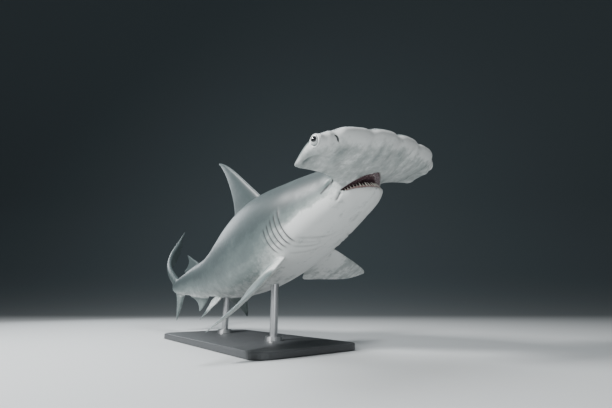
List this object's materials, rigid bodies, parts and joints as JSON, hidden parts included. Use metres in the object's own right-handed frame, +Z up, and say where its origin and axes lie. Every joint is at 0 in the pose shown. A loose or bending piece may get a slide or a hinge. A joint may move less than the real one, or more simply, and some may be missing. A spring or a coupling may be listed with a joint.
{
  "type": "great hammerhead shark display model",
  "caption": "Life-size great hammerhead shark in a banked swimming pose, mouth ajar, held over a flat base by two short rods.",
  "frame": {"origin": "on the floor under the middle of the whole model's box", "axes": "+Z up; +Y runs away from the viewer, from the head's end to the tail's; +X to the viewer's right; the body's heading is about 38 degrees from -Y towards +X"},
  "size_m": [2.0674, 2.6586, 1.1877],
  "materials": {
    "shark_skin": "satin painted skin, grey to brown-grey above and near white below",
    "eye_glaze": "glossy eye, dark pupil in a pale silver iris",
    "teeth": "off-white enamel",
    "mouth_lining": "moist dark palate and pink gum",
    "stand_plate": "dark satin powder coat",
    "stand_steel": "brushed steel rod"
  },
  "bodies": {
    "root": {"head": "shark_skin", "lower_jaw": "shark_skin", "neck_gills": "shark_skin", "torso_front": "shark_skin", "torso_rear": "shark_skin", "tail_stock": "shark_skin", "tail_fin": "shark_skin", "dorsal_fin_first": "shark_skin", "dorsal_fin_second": "shark_skin", "anal_fin": "shark_skin", "pectoral_fin_left": "shark_skin", "pectoral_fin_right": "shark_skin", "pelvic_fin_left": "shark_skin", "pelvic_fin_right": "shark_skin", "eye_left": "eye_glaze", "eye_right": "eye_glaze", "stand_base": "stand_plate", "stand_rod_front": "stand_steel", "stand_rod_rear": "stand_steel"}
  },
  "joints": []
}
